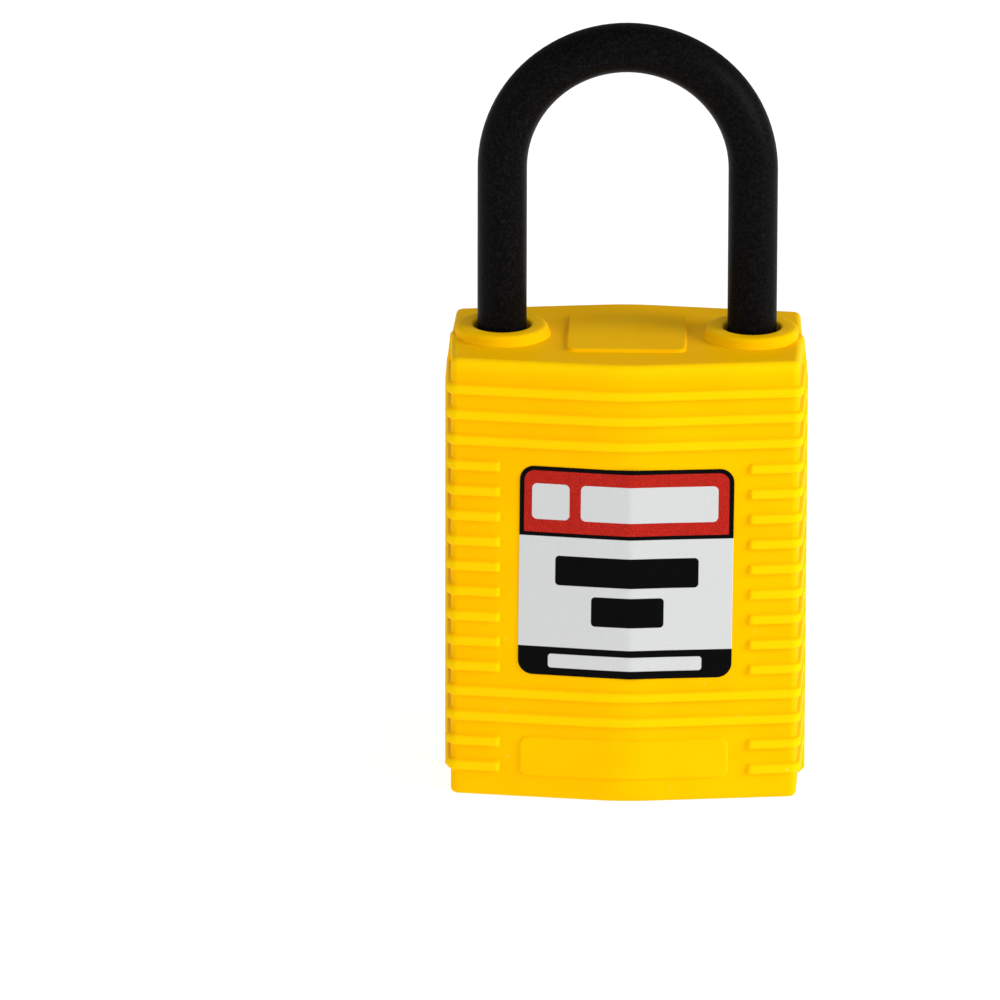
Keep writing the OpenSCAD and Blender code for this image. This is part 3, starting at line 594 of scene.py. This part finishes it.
def block_mask():
    """A block with round corners on the front: the mask is 1 inside it and 0 outside, by the
    distance from the block's core against the corners' radius."""
    tree, come, go = group(
        "block_mask", {"X": 0, "Z": 0, "Centre X": 0, "Centre Z": 0, "Half Width": 1,
                       "Half Height": 1, "Round": 0.2}, {"Mask": 0})
    past = []
    for axis, middle, half in (("X", "Centre X", "Half Width"), ("Z", "Centre Z", "Half Height")):
        away = math_node(tree, "ABSOLUTE", math_node(
            tree, "SUBTRACT", come.outputs[axis], come.outputs[middle]))
        core = math_node(tree, "SUBTRACT", come.outputs[half], come.outputs["Round"])
        over = math_node(tree, "MAXIMUM", math_node(tree, "SUBTRACT", away, core), 0.0)
        past.append(math_node(tree, "MULTIPLY", over, over))
    distance = math_node(tree, "SQRT", math_node(tree, "ADD", *past))
    inside = math_node(tree, "SUBTRACT", come.outputs["Round"], distance)
    tree.links.new(ranged(tree, inside, 0.0, 1.0, -MASK_BLUR, MASK_BLUR), go.inputs["Mask"])
    return tree


def material(name, **values):
    """A material with one Principled shader whose plain values are set on its own sockets."""
    made = bpy.data.materials.new(name)
    made.use_nodes = True
    shader = made.node_tree.nodes["Principled BSDF"]
    for key, value in values.items():
        shader.inputs[key.replace("_", " ")].default_value = value
    return made, made.node_tree, shader


def placed(tree, kind, **values):
    """A group in a material, with the material's own values."""
    node = tree.nodes.new("ShaderNodeGroup")
    node.node_tree = kind
    for key, value in values.items():
        node.inputs[key.replace("_", " ")].default_value = value
    return node


def mix(tree, share, below, above):
    """Colour mix; share is a number or an output, and the colours are tuples or outputs."""
    node = tree.nodes.new("ShaderNodeMix")
    node.data_type = "RGBA"
    for socket, value in ((node.inputs["Factor"], share), (node.inputs[6], below),
                          (node.inputs[7], above)):
        if isinstance(value, bpy.types.NodeSocket):
            tree.links.new(value, socket)
        else:
            socket.default_value = value
    return node.outputs[2]


def ranged(tree, value, low, high, start=0.0, end=1.0):
    """Value brought from the range start to end into the range low to high."""
    node = tree.nodes.new("ShaderNodeMapRange")
    tree.links.new(value, node.inputs["Value"])
    for key, number in (("From Min", start), ("From Max", end), ("To Min", low), ("To Max", high)):
        node.inputs[key].default_value = number
    return node.outputs[0]


def bump(tree, shader, height, strength, distance):
    """Relief on the shader's normal, at most the given distance in millimetres."""
    node = tree.nodes.new("ShaderNodeBump")
    node.inputs["Strength"].default_value = strength
    node.inputs["Distance"].default_value = distance * MM
    tree.links.new(height, node.inputs["Height"])
    tree.links.new(node.outputs[0], shader.inputs["Normal"])


def srgb(red, green, blue):
    """A screen colour of 0 to 255 as the shader's linear colour."""
    def linear(value):
        value /= 255
        return value / 12.92 if value <= 0.04045 else ((value + 0.055) / 1.055) ** 2.4
    return (linear(red), linear(green), linear(blue), 1.0)


def yellow_nylon(grain):
    """Yellow moulded nylon, paler and smoother by the attribute: wear and painted highlight on the
    rib crests, a painted highlight on the top edge, and a little paler on the collars and pads.
    """
    made, tree, shader = material("yellow_nylon", Specular_IOR_Level=0.015,
                                  Specular_Tint=(1, 0.7, 0.05, 1))
    marks = placed(tree, grain, Grain_Size=0.16, Flow_Size=7.0, Speck_Size=1.6)
    wear_and_highlight = tree.nodes.new("ShaderNodeAttribute")
    wear_and_highlight.attribute_name = "wear_and_highlight"
    flow = ranged(tree, marks.outputs["Flow"], 0.0, 1.0, 0.3, 0.7)
    body = mix(tree, flow, srgb(253, 189, 0), srgb(255, 196, 1))
    # The pale mix is wear and painted highlight on the rib crests, and a painted highlight on the
    # top edge.
    worn_and_highlit = mix(tree, math_node(tree, "MULTIPLY", wear_and_highlight.outputs["Fac"], 0.7), body,
               srgb(255, 212, 6))
    dust = math_node(tree, "MULTIPLY", marks.outputs["Specks"], 0.12)
    tree.links.new(mix(tree, dust, worn_and_highlit, srgb(255, 222, 110)), shader.inputs["Base Color"])
    rough = math_node(tree, "SUBTRACT", ranged(tree, marks.outputs["Flow"], 0.55, 0.45, 0.3, 0.7),
                      math_node(tree, "MULTIPLY", wear_and_highlight.outputs["Fac"], 0.05))
    tree.links.new(rough, shader.inputs["Roughness"])
    bump(tree, shader, marks.outputs["Height"], 0.22, 0.03)
    return made


def black_nylon(grain):
    """Black glass-filled nylon with a coarse, satin grain."""
    made, tree, shader = material("black_nylon", Specular_IOR_Level=0.035)
    marks = placed(tree, grain, Grain_Size=0.28, Flow_Size=6.0, Speck_Size=0.6)
    fine = ranged(tree, marks.outputs["Height"], 0.0, 1.0, 0.42, 0.75)
    body = mix(tree, fine, srgb(5, 4, 4), srgb(22, 21, 22))
    dust = math_node(tree, "MULTIPLY", marks.outputs["Specks"], 0.05)
    tree.links.new(mix(tree, dust, body, srgb(150, 146, 142)), shader.inputs["Base Color"])
    tree.links.new(ranged(tree, marks.outputs["Flow"], 0.4, 0.48, 0.3, 0.7),
                   shader.inputs["Roughness"])
    bump(tree, shader, marks.outputs["Height"], 0.5, 0.06)
    return made


def label_print(grain, block):
    """Fields of colour and plain blocks on a white film."""
    made, tree, shader = material("label_print", Specular_IOR_Level=0.03)
    level = tree.nodes.new("ShaderNodeVectorRotate")
    level.rotation_type = "Y_AXIS"
    level.inputs["Center"].default_value = (LABEL_X * MM, 0, (LABEL_TOP - LABEL_H / 2) * MM)
    level.inputs["Angle"].default_value = -LABEL_TILT
    tree.links.new(tree.nodes.new("ShaderNodeTexCoord").outputs["Object"],
                   level.inputs["Vector"])
    split = tree.nodes.new("ShaderNodeSeparateXYZ")
    tree.links.new(level.outputs[0], split.inputs[0])
    x = math_node(tree, "MULTIPLY", split.outputs[0], 1 / MM)
    z = math_node(tree, "MULTIPLY", split.outputs[2], 1 / MM)
    marks = placed(tree, grain, Grain_Size=0.12, Flow_Size=5.0, Speck_Size=0.9)
    speckle = ranged(tree, marks.outputs["Height"], 0.0, 1.0, 0.35, 0.65)
    black = mix(tree, speckle, srgb(4, 4, 5), srgb(9, 9, 10))
    white = mix(tree, speckle, srgb(203, 205, 205), srgb(209, 211, 211))
    red = mix(tree, speckle, srgb(150, 27, 20), srgb(200, 42, 31))
    top = LABEL_TOP
    fields = [  # colour, centre x, centre z, half width, half height, rounding
        (white, 0, top - 12.6, 20, 5.6, 0.05),
        (red, 0, top - 3.5, 9.85, 3.1, 1.0),
        (red, 0, top - 5, 9.85, 1.6, 0.05),
        (white, -7.3, top - 3.5, 1.8, 1.8, 0.5),
        (white, 2.2, top - 3.5, 6.6, 1.8, 0.5),
        (black, 0.1, top - 10.4, 6.9, 1.5, 0.4),
        (black, 0.2, top - 14.4, 3.5, 1.5, 0.4),
        (white, 0, top - 19.6, 7.4, 0.7, 0.3),
    ]
    colour = black
    for shade, cx, cz, half_w, half_h, rounding in fields:
        mask = placed(tree, block, Centre_X=LABEL_X + cx, Centre_Z=cz, Half_Width=half_w,
                      Half_Height=half_h, Round=rounding)
        tree.links.new(x, mask.inputs["X"])
        tree.links.new(z, mask.inputs["Z"])
        colour = mix(tree, mask.outputs[0], colour, shade)
    tree.links.new(colour, shader.inputs["Base Color"])
    tree.links.new(ranged(tree, marks.outputs["Flow"], 0.34, 0.42, 0.3, 0.7),
                   shader.inputs["Roughness"])
    bump(tree, shader, marks.outputs["Height"], 0.1, 0.02)
    return made


def metal(name, lines, dark, light, rough, line_size, centre_x=0.0):
    """Machined metal: rings about an axis in its height, tone and gloss."""
    made, tree, shader = material(name, Metallic=1.0)
    marks = placed(tree, lines, Line_Size=line_size, Centre_X=centre_x)
    tone = ranged(tree, marks.outputs["Tone"], 0.0, 1.0, 0.3, 0.7)
    tree.links.new(mix(tree, tone, dark, light), shader.inputs["Base Color"])
    tree.links.new(ranged(tree, marks.outputs["Height"], rough - 0.07, rough + 0.07, 0.3, 0.7),
                   shader.inputs["Roughness"])
    bump(tree, shader, marks.outputs["Height"], 0.25, 0.02)
    return made


def grey_moulding(grain):
    """Grey moulded plastic."""
    made, tree, shader = material("grey_moulding")
    marks = placed(tree, grain, Grain_Size=0.3, Flow_Size=5.0, Speck_Size=1.2)
    tree.links.new(mix(tree, marks.outputs["Flow"], srgb(118, 118, 120), srgb(146, 146, 148)),
                   shader.inputs["Base Color"])
    tree.links.new(ranged(tree, marks.outputs["Flow"], 0.45, 0.55), shader.inputs["Roughness"])
    bump(tree, shader, marks.outputs["Height"], 0.2, 0.03)
    return made


# The padlock

SHARES = shares()
grain, lines, block = moulded_grain(), turned_lines(), block_mask()
finish = {
    "yellow_nylon": yellow_nylon(grain),
    "black_nylon": black_nylon(grain),
    "label": label_print(grain, block),
    "brass": metal("brass", lines, srgb(186, 150, 84), srgb(214, 180, 108), 0.3, 0.09),
    "bright_steel": metal("bright_steel", lines, srgb(176, 177, 180), srgb(205, 206, 208),
                          0.3, 0.12),
    "spring_steel": metal("spring_steel", lines, srgb(150, 152, 156), srgb(180, 181, 184),
                          0.35, 0.2, LEG_X),
    "grey_moulding": grey_moulding(grain),
}

slots = {row["node"]: row["material_slot"] for row in frame["record"]["subparts"]}
for node, solid in frame["nodes"].items():
    solid.data.materials.clear()
    solid.data.materials.append(finish[slots[node]])

shell = moulded_shell()
dressed = [
    (shell, "yellow_nylon"),
    (leg_collar("toe_collar", -1), "yellow_nylon"),
    (leg_collar("heel_collar", 1), "yellow_nylon"),
    (low_pad("top_pad", TOP_PAD_W / 2, TOP_PAD_W / 2, TOP_PAD_T, on_top), "yellow_nylon"),
    (low_pad("front_pad", FRONT_PAD_W / 2, FRONT_PAD_H / 2, FRONT_PAD_T, on_front), "yellow_nylon"),
    (label_film(), "label"),
]
for piece, slot in dressed:
    piece.data.materials.append(finish[slot])
    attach(piece, "housing")
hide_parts("body_shell")
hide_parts("front_label")


# Camera and light

def studio_camera():
    """The photograph's view: far off and long, a little above, and rolled by a third of a
    degree."""
    azimuth, elevation, roll = (
        math.radians(a) for a in (VIEW_AZIMUTH, VIEW_ELEVATION, VIEW_ROLL))
    across = (AXIS_PIXEL[0] - IMAGE_SIZE / 2) / VIEW_FOCAL
    up = (IMAGE_SIZE / 2 - AXIS_PIXEL[1]) / VIEW_FOCAL
    forward = Vector((math.sin(azimuth) * math.cos(elevation),
                      math.cos(azimuth) * math.cos(elevation), -math.sin(elevation)))
    right = Vector((math.cos(azimuth), -math.sin(azimuth), 0))
    above = right.cross(forward)
    place = Vector((0, 0, AXIS_HEIGHT)) - VIEW_DISTANCE * forward
    right, above = (right * math.cos(roll) - above * math.sin(roll),
                    right * math.sin(roll) + above * math.cos(roll))
    aim = (forward - across * right - up * above).normalized()
    right = (right - right.dot(aim) * aim).normalized()
    above = right.cross(aim)
    data = bpy.data.cameras.new("studio_camera")
    data.sensor_width = SENSOR_W
    data.lens = VIEW_FOCAL * SENSOR_W / IMAGE_SIZE
    data.clip_start, data.clip_end = 0.05, 20
    camera = bpy.data.objects.new("studio_camera", data)
    bpy.context.scene.collection.objects.link(camera)
    turn = Matrix((right, above, -aim)).transposed().to_4x4()
    camera.matrix_world = Matrix.Translation(place * MM) @ turn
    bpy.context.scene.camera = camera


def soft_light(name, place, size, power):
    """A round area light that faces the padlock."""
    data = bpy.data.lights.new(name, "AREA")
    data.shape, data.size, data.energy = "DISK", size, power
    lamp = bpy.data.objects.new(name, data)
    bpy.context.scene.collection.objects.link(lamp)
    lamp.location = place
    lamp.rotation_euler = (Vector(LIGHT_AIM) - Vector(place)).to_track_quat("-Z", "Y").to_euler()


def pale_floor():
    """A wide plain floor that the padlock stands on."""
    corners = [(FLOOR_HALF_W * x, FLOOR_HALF_W * y, 0)
               for x, y in ((-1, -1), (1, -1), (1, 1), (-1, 1))]
    mesh = bpy.data.meshes.new("pale_floor")
    mesh.from_pydata(corners, [], [(0, 1, 2, 3)])
    floor = bpy.data.objects.new("pale_floor", mesh)
    bpy.context.scene.collection.objects.link(floor)
    made, _, _ = material("pale_floor", Base_Color=(0.3, 0.3, 0.3, 1), Roughness=0.9,
                          Emission_Color=(1, 1, 1, 1), Emission_Strength=0.86)
    mesh.materials.append(made)


def pale_world():
    """Even white light from all round."""
    world = bpy.data.worlds.new("pale_world")
    world.use_nodes = True
    back = world.node_tree.nodes["Background"]
    back.inputs[0].default_value = (1, 1, 1, 1)
    back.inputs[1].default_value = 0.35
    bpy.context.scene.world = world


studio_camera()
pale_floor()
pale_world()
for row in LIGHTS:
    soft_light(*row)
bpy.context.scene.view_settings.view_transform = "Standard"
